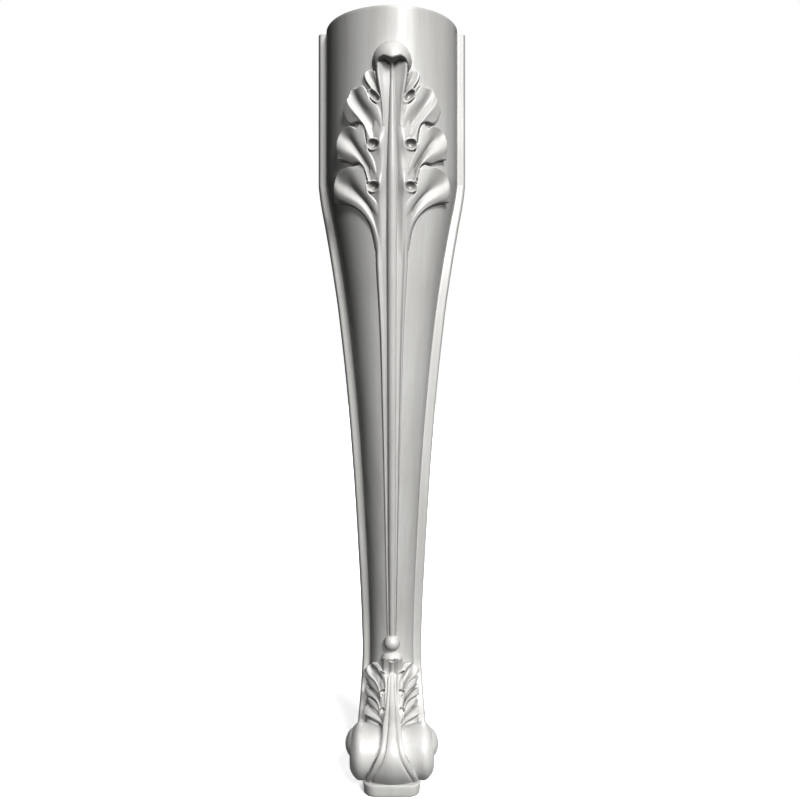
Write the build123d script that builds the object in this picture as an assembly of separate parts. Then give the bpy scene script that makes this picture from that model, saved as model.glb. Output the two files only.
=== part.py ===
from build123d import *
import os
from math import sin, cos, asin, radians, pi

# Carved cabriole leg for a table, one piece of wood.
# Millimetres, +Z up. The outer corner of the leg faces -Y, the two flat rear
# faces (for the aprons) look towards +Y at 45 degrees either side.
# Origin: centre of the underside of the foot pad.

# ---------------------------------------------------------------- dimensions
leg_height = 720.0          # floor to table top
block_bottom = 571.0        # the post is straight from here to the top
corner_round = 5.0          # rounding of the rear corner
arris_back = 4.6            # setback of the small arris behind the edge band

# stations of the shaft, top to ankle:
# height, depth of the edge bands, radius of the rounded front,
# half width to the outside of the bands, half width over all
shaft = [
    (571.0, 42.4, 64.1, 69.3, 72.3),
    (556.4, 41.0, 62.0, 67.3, 70.5),
    (536.2, 38.2, 58.0, 63.8, 66.8),
    (516.1, 35.3, 54.0, 60.1, 63.1),
    (496.2, 32.8, 50.3, 56.8, 59.6),
    (476.4, 30.6, 47.0, 53.8, 56.4),
    (456.8, 29.0, 44.0, 50.8, 53.4),
    (427.6, 27.3, 40.2, 47.2, 49.7),
    (398.6, 26.7, 37.0, 44.0, 46.4),
    (360.0, 27.2, 33.3, 40.3, 42.6),
    (311.6, 29.8, 29.4, 36.4, 38.8),
    (262.5, 35.2, 26.4, 33.2, 35.6),
    (212.2, 43.5, 24.0, 30.6, 33.1),
    (160.6, 54.0, 22.1, 28.4, 30.8),
    (129.1, 60.6, 21.5, 27.6, 29.9),
    (104.0, 65.2, 21.6, 27.2, 29.6),
]
# stations of the foot, ankle to scroll: depth and height of the edge bands,
# tilt of the section, half width and rise of the rounded top, half width to
# the outside of the bands, half width over all, depth to the rear corner
foot = [
    (66.8, 88.0, 11.0, 22.3, 23.2, 27.9, 30.3, 32.5),
    (62.5, 73.0, 33.0, 23.6, 25.0, 29.0, 31.3, 30.5),
    (50.5, 60.8, 57.0, 24.8, 24.5, 30.0, 32.2, 28.5),
    (35.0, 54.0, 72.0, 25.4, 22.0, 30.6, 32.8, 27.0),
    (18.0, 49.0, 80.0, 25.8, 16.4, 30.8, 33.0, 27.0),
    (4.0, 44.6, 85.0, 25.8, 13.0, 30.8, 33.0, 24.0),
]

leaf_rise = 4.6             # the knee leaf stands this proud of the front
stem_rise = 2.4             # the flat stems either side of the rib
ball_radius = 17.6
foot_leaf_rise = 3.4

scroll_y, scroll_z = -1.0, 32.8     # axis of the scroll, along X
scroll_half = 38.8                  # half width over the scroll's flat sides
eye_z, eye_radius, eye_out = 40.0, 11.8, 43.4   # the domed eyes, above the axis
pad_half_top, pad_half_bottom = 27.1, 25.8
pad_height, pad_corner = 11.0, 12.0


# ------------------------------------------------------------------ sections
def section(yb, zb, tilt, r, rise, band, wide, deep, grow=0.0):
    """Closed outline of the leg on a plane through the edge bands."""
    plane = Plane(origin=(0, yb, zb), x_dir=(1, 0, 0),
                  z_dir=(0, sin(radians(tilt)), cos(radians(tilt))))
    # on this plane +y points back and down the slope of the foot
    r1, f1 = r + grow, rise + grow
    front = EllipticalCenterArc((0, 0), r1, f1, start_angle=180, arc_size=180)
    c = corner_round
    s = (deep - arris_back) / wide
    tip = [(c, deep - c * s), (0, deep - c * s * 0.42), (-c, deep - c * s)]
    rest = [
        Line((r1, 0), (max(band, r1 + 0.5), 0)),
        Line((max(band, r1 + 0.5), 0), (wide, arris_back)),
        Line((wide, arris_back), tip[0]),
        ThreePointArc(*tip),
        Line(tip[2], (-wide, arris_back)),
        Line((-wide, arris_back), (-max(band, r1 + 0.5), 0)),
        Line((-max(band, r1 + 0.5), 0), (-r1, 0)),
    ]
    return plane * make_face(Wire([front] + rest))


def half_section(yb, zb, tilt, r, rise, grow):
    """Only the rounded front, grown outwards, for the relief."""
    plane = Plane(origin=(0, yb, zb), x_dir=(1, 0, 0),
                  z_dir=(0, sin(radians(tilt)), cos(radians(tilt))))
    r1, f1 = r + grow, rise + grow
    front = EllipticalCenterArc((0, 0), r1, f1, start_angle=180, arc_size=180)
    back = [Line((r1, 0), (r1, 6)), Line((r1, 6), (-r1, 6)), Line((-r1, 6), (-r1, 0))]
    return plane * make_face(Wire([front] + back))


shaft_rows = [(y, z, 0.0, r, r, b, w, arris_back + w) for z, y, r, b, w in shaft]
rows = shaft_rows + [(y, z, t, r, f, b, w, d) for y, z, t, r, f, b, w, d in foot]

# ---------------------------------------------------------------------- body
top = section(*shaft_rows[0])
block = extrude(top, amount=leg_height - block_bottom, dir=(0, 0, 1))
body = block + loft([section(*q) for q in rows])

# -------------------------------------------------------- relief on the knee
def grown(rise_at, z_low):
    """The rounded front grown by a height that depends on z, down to z_low."""
    picked = [q for q in shaft_rows if q[1] >= z_low]
    low = loft([half_section(q[0], q[1], q[2], q[3], q[4], rise_at(q[1])) for q in picked])
    high = extrude(half_section(42.4, block_bottom, 0, 64.1, 64.1, rise_at(block_bottom)),
                   amount=130.0, dir=(0, 0, 1))
    return high + low


def leaf_height(z, drop=0.0):
    t = min(max((z - 490.0) / 50.0, 0.0), 1.0)
    return stem_rise + (leaf_rise - stem_rise) * t * t * (3 - 2 * t) - drop


# outline of one half of the leaf, seen from the front (X, Z); each list is one
# lobe edge, and the lobes meet in sharp notches
lobes = [
    [(0.0, 662.0), (-6.7, 664.4), (-11.3, 665.5), (-14.2, 663.0), (-15.7, 659.2)],
    [(-15.7, 659.2), (-20.8, 659.6), (-24.9, 658.7), (-26.9, 655.4), (-25.0, 650.0), (-22.7, 645.9)],
    [(-22.7, 645.9), (-28.2, 647.8), (-29.7, 645.4)],
    [(-29.7, 645.4), (-33.5, 646.4), (-38.4, 646.2), (-40.0, 643.9), (-41.1, 638.4), (-44.4, 629.8),
     (-46.0, 626.5), (-45.0, 621.9), (-41.1, 617.0), (-37.0, 614.2), (-34.2, 609.7)],
    [(-34.2, 609.7), (-37.6, 610.8), (-41.8, 612.0), (-47.0, 611.1), (-49.9, 607.2), (-53.1, 597.1), (-51.9, 591.3)],
    [(-51.9, 591.3), (-53.4, 586.2), (-51.6, 582.8), (-45.9, 581.6), (-38.7, 575.9), (-35.0, 570.0)],
    [(-35.0, 570.0), (-40.3, 574.3), (-46.5, 574.9), (-50.5, 572.7), (-53.3, 569.3), (-55.6, 558.1),
     (-54.4, 552.1)],
    [(-54.4, 552.1), (-55.4, 547.8), (-53.6, 545.1), (-47.2, 543.4), (-37.8, 539.5), (-31.9, 536.1),
     (-26.8, 530.9), (-22.5, 524.3), (-19.3, 517.3), (-17.2, 506.8), (-15.7, 496.4)],
]
stem_edge = [(-17.2, 506.8), (-15.1, 487.7), (-13.6, 460.5), (-10.6, 397.7), (-8.7, 332.2),
             (-7.0, 266.1), (-5.6, 207.5), (-4.3, 156.9), (-3.3, 130.0)]


def front_prism(wire, y_from=-60.0, y_to=45.0):
    plane = Plane(origin=(0, y_from, 0), x_dir=(1, 0, 0), z_dir=(0, -1, 0))
    face = make_face([plane * e for e in wire])
    return extrude(face, amount=y_to - y_from, dir=(0, 1, 0))


def mirrored(points):
    return [(-x, z) for x, z in reversed(points)]


left = [Spline(*p) for p in lobes]
right = [Spline(*mirrored(p)) for p in reversed(lobes)]
foot_line = Line(lobes[-1][-1], (-lobes[-1][-1][0], lobes[-1][-1][1]))
leaf = front_prism(left + [foot_line] + right) & grown(leaf_height, 476.0)
stems = front_prism([Spline(*stem_edge), Line(stem_edge[-1], (-stem_edge[-1][0], 130.0)),
                     Spline(*mirrored(stem_edge)),
                     Line((-stem_edge[0][0], 506.8), stem_edge[0])], y_to=60.0) & grown(lambda z: stem_rise, 104.0)

# eyelets, sunk through the relief down to the ground of the knee
eyelet = [(-19.7, 641.7), (-15.0, 637.3), (-12.7, 633.5), (-12.9, 631.5), (-16.3, 630.2),
          (-18.7, 633.5), (-20.5, 638.9)]
holes = []
for side in (1, -1):
    pts = [(side * x, z) for x, z in eyelet]
    holes.append(front_prism([Spline(*pts, periodic=True)], -60, 0))
    for z in (592.5, 554.2):
        holes.append(Pos(side * 17.6, 0, z) * Rot(90, 0, 0) * Cylinder(4.6, 60, align=(Align.CENTER, Align.CENTER, Align.MIN)))
for h in holes:
    leaf = leaf - h

# hollow down the middle of each lobe: outer end, inner end wider or narrower
flutes = [
    ([(-39.0, 642.6), (-35.0, 635.6), (-29.6, 627.4), (-23.0, 618.0), (-18.9, 611.4)], 2.3),
    ([(-48.6, 606.0), (-41.5, 601.5), (-33.0, 592.6), (-28.0, 586.2), (-21.9, 579.0), (-17.9, 571.6)], 2.4),
    ([(-50.0, 568.0), (-43.4, 561.0), (-31.8, 551.3), (-24.0, 542.6), (-17.6, 534.0)], 2.4),
]
floor_of_flutes = grown(lambda z: leaf_height(z, 1.5), 476.0)
for path, w in flutes:
    n = len(path)
    lens_a, lens_b = [], []
    for i, (x, z) in enumerate(path):
        dx = path[min(i + 1, n - 1)][0] - path[max(i - 1, 0)][0]
        dz = path[min(i + 1, n - 1)][1] - path[max(i - 1, 0)][1]
        ll = (dx * dx + dz * dz) ** 0.5
        h = w * sin(pi * i / (n - 1)) * (1.0 if i < n / 2 else 0.75)
        lens_a.append((x - dz / ll * h, z + dx / ll * h))
        lens_b.append((x + dz / ll * h, z - dx / ll * h))
    for side in (1, -1):
        fa = [(side * x, z) for x, z in lens_a]
        fb = [(side * x, z) for x, z in reversed(lens_b)]
        cut = front_prism([Spline(*fa), Spline(*fb)], -60, 20) - floor_of_flutes
        leaf = leaf - cut

# central rib, half round, from under the ball to the first bead: it rides on
# the leaf above and on the flat stems below
rib_stations = [(q[0] - q[4] - o, q[1], r) for q, o, r in zip(
    shaft_rows[0:15],
    [3.8, 3.8, 3.5, 2.9, 2.2, 1.6, 1.3, 1.2, 1.2, 1.2, 1.2, 1.2, 1.2, 1.2, 1.2],
    [4.9, 4.9, 4.9, 4.8, 4.7, 4.5, 4.4, 4.2, 4.0, 3.8, 3.6, 3.4, 3.3, 3.2, 3.2])]
rib = loft([Plane(origin=(0, y, z), x_dir=(1, 0, 0), z_dir=(0, 0, 1)) *
            make_face(Circle(r).edges()) for y, z, r in rib_stations])
rib_top = Pos(0, rib_stations[0][0], block_bottom) * Cylinder(
    4.9, 90, align=(Align.CENTER, Align.CENTER, Align.MIN))

ball = Pos(0, -16.0, 667.6) * Sphere(ball_radius)
bead_1 = Pos(0, 39.6, 123.0) * Sphere(8.0)
bead_2 = Pos(0, 46.5, 105.0) * Sphere(10.6)

# ---------------------------------------------------------------- scroll foot
# half profile of the roll (half width, radius): sunk beside the tongue, a crest
# near the outer edge, rounded off to the flat side
roll = [(0.0, 22.8), (10.0, 22.6), (16.0, 23.1), (23.0, 24.6), (28.6, 25.7), (33.0, 24.2),
        (36.6, 20.8), (scroll_half, 16.0)]
side_plane = Plane(origin=(0, scroll_y, scroll_z), x_dir=(1, 0, 0), z_dir=(0, -1, 0))
half = make_face([side_plane * e for e in (
    Spline(*roll), Line(roll[-1], (scroll_half, 0)), Line((scroll_half, 0), (0, 0)), Line((0, 0), roll[0]))])
axis = Axis((0, scroll_y, scroll_z), (1, 0, 0))
right_roll = revolve(half, axis, 360)
dome = eye_out - scroll_half
dome_r = (eye_radius ** 2 + dome ** 2) / (2 * dome)
right_roll = right_roll + Pos(eye_out - dome_r, scroll_y, eye_z) * Sphere(dome_r)

# winding channel on each flat side, round the eye and off over the shoulder
def winding(r_start, r_end, a_start, a_end, n=24):
    pts = []
    for i in range(n + 1):
        t = i / n
        a = radians(a_start + (a_end - a_start) * t)
        r = r_start + (r_end - r_start) * t
        pts.append((r * cos(a), r * sin(a)))
    return pts


outer = winding(14.4, 22.4, 112.0, 372.0)
inner = winding(12.8, 18.4, 112.0, 372.0)
flat_side = Plane(origin=(scroll_half + 1.0, scroll_y, eye_z), x_dir=(0, 1, 0), z_dir=(1, 0, 0))
channel = extrude(flat_side * make_face([Spline(*outer), Line(outer[-1], inner[-1]),
                                         Spline(*reversed(inner)), Line(inner[0], outer[0])]),
                  amount=3.2, dir=(-1, 0, 0))
right_roll = right_roll - channel
scroll = right_roll + mirror(right_roll, Plane.YZ)

# tongue: the stem of the leg running down over the roll and out onto the pad
tongue_side = [(24.0, 78.6), (8.0, 69.5), (-8.0, 64.6), (-20.0, 59.0), (-28.6, 52.0), (-33.8, 44.5), (-35.6, 37.0),
               (-34.6, 28.0), (-31.2, 19.5), (-24.6, 10.4)]
side = Plane(origin=(-40, 0, 0), x_dir=(0, 1, 0), z_dir=(1, 0, 0))
tongue = extrude(side * make_face([Spline(*tongue_side), Line(tongue_side[-1], (0, 10.4)),
                                   Line((0, 10.4), (24.0, 40.0)), Line((24.0, 40.0), tongue_side[0])]),
                 amount=80, dir=(1, 0, 0))
tongue_edge = [(-9.6, 80.0), (-9.0, 66.0), (-8.8, 54.0), (-9.8, 42.0), (-12.4, 30.0), (-16.2, 19.0), (-20.6, 10.0)]
tongue = tongue & front_prism([Spline(*tongue_edge), Line(tongue_edge[-1], (20.6, 10.0)),
                               Spline(*mirrored(tongue_edge)), Line((9.6, 80.0), (-9.6, 80.0))], y_to=40.0)
rounded = loft([Plane(origin=(0, -5.0, z)) * make_face(Ellipse(a, c).edges())
                for z, a, c in ((2.0, 23.0, 17.5), (10.4, 24.0, 20.4), (25.0, 25.0, 28.6), (40.0, 27.0, 32.5),
                                (60.0, 32.0, 34.0), (84.0, 40.0, 40.0))])
tongue = tongue & rounded

# pad, narrower at the floor
pad = extrude(RectangleRounded(2 * pad_half_bottom, 2 * pad_half_bottom, pad_corner), amount=pad_height,
              taper=-6.7)

# ------------------------------------------------------- relief on the foot
view_tilt = 20.0            # the outline of the foot leaf is laid out on a plane leaning back
leaf_plane = Plane(origin=(0, 20.0, 80.0), x_dir=(1, 0, 0),
                   z_dir=(0, -cos(radians(view_tilt)), sin(radians(view_tilt))))
foot_lobes = [
    [(0.0, 26.2), (-5.0, 27.4), (-9.2, 26.2), (-14.2, 24.3), (-17.8, 22.4)],
    [(-17.8, 22.4), (-21.4, 22.6), (-24.6, 19.8), (-27.3, 14.6), (-27.0, 11.0), (-24.0, 7.6)],
    [(-24.0, 7.6), (-27.4, 6.4), (-27.2, 3.2), (-23.4, -1.8), (-18.4, -6.4)],
    [(-18.4, -6.4), (-22.0, -5.9), (-25.6, -7.2), (-27.8, -15.0), (-28.4, -24.2)],
    [(-28.4, -24.2), (-23.8, -26.0), (-16.6, -27.2), (-12.8, -30.4), (-10.4, -36.0), (-9.4, -42.0)],
]
fl = [Spline(*p) for p in foot_lobes]
fr = [Spline(*mirrored(p)) for p in reversed(foot_lobes)]
outline = fl + [Line(foot_lobes[-1][-1], (-foot_lobes[-1][-1][0], foot_lobes[-1][-1][1]))] + fr
foot_prism = extrude(leaf_plane * make_face(outline), amount=60, both=True)
neck = loft([half_section(q[0], q[1], q[2], q[3], q[4], foot_leaf_rise) for q in rows[-8:]])
foot_leaf = foot_prism & neck
for s in (1, -1):
    for x, v, r in ((9.9, 17.0, 2.9), (9.3, -1.2, 2.9), (9.8, -19.0, 2.7)):
        foot_leaf = foot_leaf - (leaf_plane * Pos(s * x, v, 2) * Cylinder(r, 40))

leg = body + scroll + tongue + pad
leg = leg + leaf + stems + rib + rib_top + ball + bead_1 + bead_2 + foot_leaf
leg = leg & Pos(0, 40, leg_height / 2) * Box(200, 260, leg_height)
if len(leg.solids()) == 1:
    leg = leg.solids()[0]
leg.label = "leg"

print("valid", leg.is_valid, "solids", len(leg.solids()), "volume cm3", round(leg.volume / 1000, 1))
print("centre of mass", [round(v, 1) for v in leg.center(CenterOf.MASS)], "box", leg.bounding_box())

os.makedirs("parts", exist_ok=True)
export_step(leg, "parts/leg.step")
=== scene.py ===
import math
import bpy
import bmesh
import numpy as np
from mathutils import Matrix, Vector
from mathutils.bvhtree import BVHTree


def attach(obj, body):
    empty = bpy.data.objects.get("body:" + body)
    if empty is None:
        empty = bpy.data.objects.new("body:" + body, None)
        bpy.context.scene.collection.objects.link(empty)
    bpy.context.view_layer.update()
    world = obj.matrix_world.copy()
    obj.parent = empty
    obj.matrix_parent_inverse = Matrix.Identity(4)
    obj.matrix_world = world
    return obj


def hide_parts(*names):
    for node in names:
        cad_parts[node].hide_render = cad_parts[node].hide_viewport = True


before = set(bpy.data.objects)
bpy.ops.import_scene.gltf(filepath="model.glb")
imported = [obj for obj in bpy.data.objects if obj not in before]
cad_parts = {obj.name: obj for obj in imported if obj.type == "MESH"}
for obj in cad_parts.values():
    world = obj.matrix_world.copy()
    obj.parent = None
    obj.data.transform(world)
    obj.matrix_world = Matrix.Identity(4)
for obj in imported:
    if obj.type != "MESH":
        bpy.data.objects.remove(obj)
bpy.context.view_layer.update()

# Carved cabriole leg. Lengths below are millimetres; meshes are written in
# metres. The outer corner faces -Y, +Z is up, the pad stands on Z = 0.

# ------------------------------------------------------------- view geometry
FOCAL, CX, CY = 870.0, 391.9, 400.0          # picture distances, 800 x 800
CAM_Y, CAM_Z = -813.3, 360.0

# ------------------------------------------------------------------ the body
# height, depth of bands, radius of the front, half width to the outside of the
# bands, half width over all
SHAFT = [
    (571.0, 42.4, 64.1, 69.3, 72.3), (556.4, 41.0, 62.0, 67.3, 70.5), (536.2, 38.2, 58.0, 63.8, 66.8),
    (516.1, 35.3, 54.0, 60.1, 63.1), (496.2, 32.8, 50.3, 56.8, 59.6), (476.4, 30.6, 47.0, 53.8, 56.4),
    (456.8, 29.0, 44.0, 50.8, 53.4), (427.6, 27.3, 40.2, 47.2, 49.7), (398.6, 26.7, 37.0, 44.0, 46.4),
    (360.0, 27.2, 33.3, 40.3, 42.6), (311.6, 29.8, 29.4, 36.4, 38.8), (262.5, 35.2, 26.4, 33.2, 35.6),
    (212.2, 43.5, 24.0, 30.6, 33.1), (160.6, 54.0, 22.1, 28.4, 30.8), (129.1, 60.6, 21.5, 27.6, 29.9),
    (104.0, 65.2, 21.6, 27.2, 29.6)]
FOOT = [
    (66.8, 88.0, 11.0, 22.3, 23.2, 27.9, 30.3, 32.5), (62.5, 73.0, 33.0, 23.6, 25.0, 29.0, 31.3, 30.5),
    (50.5, 60.8, 57.0, 24.8, 24.5, 30.0, 32.2, 28.5), (35.0, 54.0, 72.0, 25.4, 22.0, 30.6, 32.8, 27.0),
    (18.0, 49.0, 80.0, 25.8, 16.4, 30.8, 33.0, 27.0), (4.0, 44.6, 85.0, 25.8, 13.0, 30.8, 33.0, 24.0)]
ARRIS, TOP_Z, BLOCK_Z = 4.6, 720.0, 571.0
# the same surface carried on over the scroll, only to lay the relief on it
OVER = [(-10.0, 40.8, 80.0, 25.8, 13.4, 30.8, 33.0, 24.0), (-20.0, 35.4, 62.0, 25.8, 13.6, 30.8, 33.0, 24.0)]
ROWS = np.array([(y, z, 0.0, r, r, b, w, ARRIS + w) for z, y, r, b, w in SHAFT] + FOOT + OVER)


def natural(xs, ys):
    """Second derivatives of a natural cubic spline through the points."""
    xs, ys = np.asarray(xs, float), np.asarray(ys, float)
    n = len(xs)
    h = np.diff(xs)
    m = np.zeros((n, n))
    rhs = np.zeros((n,) + ys.shape[1:])
    m[0, 0] = m[-1, -1] = 1.0
    for i in range(1, n - 1):
        m[i, i - 1], m[i, i], m[i, i + 1] = h[i - 1], 2 * (h[i - 1] + h[i]), h[i]
        rhs[i] = 6 * ((ys[i + 1] - ys[i]) / h[i] - (ys[i] - ys[i - 1]) / h[i - 1])
    return np.linalg.solve(m, rhs)


def spline(xs, ys, xq, d2=None):
    xs, ys, xq = np.asarray(xs, float), np.asarray(ys, float), np.asarray(xq, float)
    if len(xs) == 2:
        t = ((xq - xs[0]) / (xs[1] - xs[0]))
        return ys[0] + (ys[1] - ys[0]) * (t if ys.ndim == 1 else t[..., None])
    if d2 is None:
        d2 = natural(xs, ys)
    k = np.clip(np.searchsorted(xs, xq, side="right") - 1, 0, len(xs) - 2)
    h = xs[k + 1] - xs[k]
    a, b = (xs[k + 1] - xq) / h, (xq - xs[k]) / h
    if ys.ndim > 1:
        a, b, h = a[..., None], b[..., None], h[..., None]
    return a * ys[k] + b * ys[k + 1] + ((a ** 3 - a) * d2[k] + (b ** 3 - b) * d2[k + 1]) * h * h / 6.0


U = np.concatenate([[0.0], np.cumsum(np.hypot(np.diff(ROWS[:, 0]), np.diff(ROWS[:, 1])))])
D2 = natural(U, ROWS)
U_END, U_OVER = U[-3], U[-1]


def row(u):
    """The section at distance u down the leg from the foot of the block."""
    u = np.asarray(u, float)
    q = spline(U, ROWS, np.clip(u, 0, U_OVER), D2)
    up = np.minimum(u, 0.0)
    q[..., 1] = q[..., 1] - up
    return q


def place(s, u, h, q=None):
    """Point above the rounded front: s across (arc length), u down, h proud."""
    q = row(u) if q is None else q
    yb, zb, t, r, f = q[..., 0], q[..., 1], np.radians(q[..., 2]), q[..., 3], q[..., 4]
    a = s / r
    v = -(f + h) * np.cos(a)
    return np.stack([(r + h) * np.sin(a), yb + v * np.cos(t), zb - v * np.sin(t)], -1)


def seen(p):
    d = p[..., 1] - CAM_Y
    return np.stack([CX + FOCAL * p[..., 0] / d, CY - FOCAL * (p[..., 2] - CAM_Z) / d], -1)


def laid(points, u_range):
    """Picture position and height -> (s, u, h) on the rounded front."""
    pts = np.asarray(points, float)
    gu = np.linspace(u_range[0], u_range[1], 160)
    gs = np.linspace(-1.35, 1.35, 61)
    uu, aa = np.meshgrid(gu, gs, indexing="ij")
    qq = row(uu)
    out = np.zeros((len(pts), 3))
    for i, (x, y, h) in enumerate(pts):
        s = aa * qq[..., 3]
        g = seen(place(s, uu, h, qq))
        e = (g[..., 0] - x) ** 2 + (g[..., 1] - y) ** 2
        k = np.unravel_index(np.argmin(e), e.shape)
        v = np.array([s[k], uu[k]])
        for _ in range(8):
            p0 = seen(place(v[0], v[1], h))
            r0 = p0 - (x, y)
            j = np.stack([seen(place(v[0] + 0.05, v[1], h)) - p0, seen(place(v[0], v[1] + 0.05, h)) - p0], 1) / 0.05
            try:
                step = np.linalg.solve(j, r0)
            except np.linalg.LinAlgError:
                break
            v = v - np.clip(step, -4, 4)
            if np.abs(step).max() < 1e-4:
                break
        out[i] = (v[0], v[1], h)
    return out


def resample(pts, n):
    d = np.concatenate([[0.0], np.cumsum(np.linalg.norm(np.diff(pts[:, :2], axis=0), axis=1))])
    return spline(d, pts, np.linspace(0, d[-1], n))


def patch(rails, u_range, na=56, nt=120):
    """Relief surface through rails given root to tip, ordered across."""
    rs = np.stack([resample(laid(r, u_range), nt) for r in rails])          # rails x nt x 3
    wid = np.linalg.norm(np.diff(rs[:, :, :2], axis=0), axis=2).mean(axis=1) + 0.2
    x = np.concatenate([[0.0], np.cumsum(wid)])
    xq = np.linspace(0, x[-1], na)
    flat = rs.reshape(len(rails), -1)
    return spline(x, flat, xq).reshape(na, nt, 3)


def as_tris(grid):
    na, nt = grid.shape[:2]
    idx = np.arange(na * nt).reshape(na, nt)
    a, b, c, d = idx[:-1, :-1].ravel(), idx[1:, :-1].ravel(), idx[1:, 1:].ravel(), idx[:-1, 1:].ravel()
    return grid.reshape(-1, 3), np.concatenate([np.stack([a, b, c], 1), np.stack([a, c, d], 1)])


def heights(patches, gs, gu, ground):
    """Highest relief surface over each grid point (s, u)."""
    verts, tris, n = [], [], 0
    for g in patches:
        v, t = as_tris(g)
        verts.append(v)
        tris.append(t + n)
        n += len(v)
    tree = BVHTree.FromPolygons(np.concatenate(verts).tolist(), np.concatenate(tris).tolist())
    out = np.full((len(gu), len(gs)), ground)
    down = Vector((0, 0, -1))
    for i, u in enumerate(gu):
        for j, s in enumerate(gs):
            hit = tree.ray_cast(Vector((s, u, 60.0)), down)
            if hit[0] is not None:
                out[i, j] = hit[0].z
    return out


def blur(a, sigma):
    if sigma <= 0:
        return a
    k = int(3 * sigma + 1)
    w = np.exp(-0.5 * (np.arange(-k, k + 1) / sigma) ** 2)
    w /= w.sum()
    p = np.pad(a, ((k, k), (0, 0)), mode="edge")
    a = sum(w[i] * p[i:i + a.shape[0]] for i in range(2 * k + 1))
    p = np.pad(a, ((0, 0), (k, k)), mode="edge")
    return sum(w[i] * p[:, i:i + a.shape[1]] for i in range(2 * k + 1))


def bump(gs, gu, cs, cu, sa, sb, turn=0.0):
    c, s = math.cos(turn), math.sin(turn)
    ds, du = gs[None, :] - cs, gu[:, None] - cu
    a, b = ds * c + du * s, -ds * s + du * c
    return np.exp(-0.5 * ((a / sa) ** 2 + (b / sb) ** 2))


# --------------------------------------------------------------- mesh making
def creases(ob, degrees):
    """Sharp edges above an angle; plane ends, the only faces with many corners, stay plane."""
    ob.data.set_sharp_from_angle(angle=math.radians(degrees))
    ob.data.polygons.foreach_set("use_smooth", [len(p.vertices) <= 4 for p in ob.data.polygons])
    ob.data.update()


def make(name, verts_mm, faces, smooth=True, sharp_deg=None):
    me = bpy.data.meshes.new(name)
    me.from_pydata((np.asarray(verts_mm, float) / 1000.0).tolist(), [], faces)
    me.validate()
    me.update()
    if smooth:
        me.polygons.foreach_set("use_smooth", [True] * len(me.polygons))
    ob = bpy.data.objects.new(name, me)
    bpy.context.scene.collection.objects.link(ob)
    if sharp_deg:
        creases(ob, sharp_deg)
    return ob


def grid_faces(nr, nc, close=False, flip=False, base=0):
    out = []
    last = nc if close else nc - 1
    for i in range(nr - 1):
        for j in range(last):
            a, b = base + i * nc + j, base + i * nc + (j + 1) % nc
            c, d = base + (i + 1) * nc + (j + 1) % nc, base + (i + 1) * nc + j
            out.append((a, d, c, b) if flip else (a, b, c, d))
    return out


def face_out(ob):
    bm = bmesh.new()
    bm.from_mesh(ob.data)
    bmesh.ops.recalc_face_normals(bm, faces=bm.faces)
    bm.to_mesh(ob.data)
    bm.free()


def relief(name, gs, gu, hh, keep, wide_mm=2.4, close_mm=1.0, clear=0.0, ring=0.0):
    """Closed shell of a relief: the carved top, and a back buried in the wood, with painted shade for its hollows kept
    as a vertex attribute.
    """
    nr, nc = hh.shape
    ss, uu = np.meshgrid(gs, gu)
    # narrow set-in line round the relief, darkened with painted shade
    near = blur((hh > 0.4).astype(float), 0.55 / abs(gs[1] - gs[0]))
    line = (near > 0.05) & (hh < 0.12)
    hh = np.where(line, 0.12, hh)
    keep = keep | line
    pts = place(ss, uu, hh)
    cell = keep[:-1, :-1] | keep[1:, :-1] | keep[:-1, 1:] | keep[1:, 1:]
    used = np.zeros((nr, nc), bool)
    used[:-1, :-1] |= cell
    used[1:, :-1] |= cell
    used[:-1, 1:] |= cell
    used[1:, 1:] |= cell
    idx = np.full((nr, nc), -1)
    idx[used] = np.arange(used.sum())
    ii, jj = np.nonzero(cell)
    faces = np.stack([idx[ii, jj], idx[ii + 1, jj], idx[ii + 1, jj + 1], idx[ii, jj + 1]], 1)
    me = bpy.data.meshes.new(name)
    me.from_pydata((pts[used] / 1000.0).tolist(), [], faces.tolist())
    me.update()
    bm = bmesh.new()
    bm.from_mesh(me)
    rim = [e for e in bm.edges if e.is_boundary]
    bmesh.ops.holes_fill(bm, edges=rim, sides=0)
    bmesh.ops.triangulate(bm, faces=[f for f in bm.faces if len(f.verts) > 4])
    bmesh.ops.recalc_face_normals(bm, faces=bm.faces)
    if bm.calc_volume(signed=True) < 0:
        bmesh.ops.reverse_faces(bm, faces=bm.faces[:])
    for f in bm.faces:
        f.smooth = True
    bm.to_mesh(me)
    bm.free()
    # painted shade: darker where the surface lies below its blurred surroundings (hollows, feet of walls), kept as a
    # vertex attribute
    solid = np.maximum(hh, 0.0)
    wide = blur(solid, wide_mm / abs(gs[1] - gs[0]))
    close = blur(solid, close_mm / abs(gs[1] - gs[0]))
    cavity_shade = np.clip(np.maximum((wide - solid - 0.15) / (0.85 * wide_mm), (close - solid - 0.08) / (0.8 * close_mm)), 0, 1)
    # clear lifts the painted shade (pit floors stay light), ring adds painted dark outlines
    cavity_shade = np.clip(cavity_shade * (hh > -0.5) * (1.0 - clear) + ring, 0, 1)
    # painted shade along the set-in line
    cavity_shade = np.where(line, np.clip((near - 0.05) / 0.32, 0, 1) * 0.85, cavity_shade)
    me.attributes.new("cavity_shade", "FLOAT", "POINT").data.foreach_set("value", cavity_shade[used].astype(np.float32))
    ob = bpy.data.objects.new(name, me)
    bpy.context.scene.collection.objects.link(ob)
    return ob


def sym(gs_left, h_left):
    """Mirror a left half grid (s from -x to 0) to the whole width."""
    return (np.concatenate([gs_left, -gs_left[-2::-1]]),
            np.concatenate([h_left, h_left[:, -2::-1]], axis=1))


PIECES = []

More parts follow.
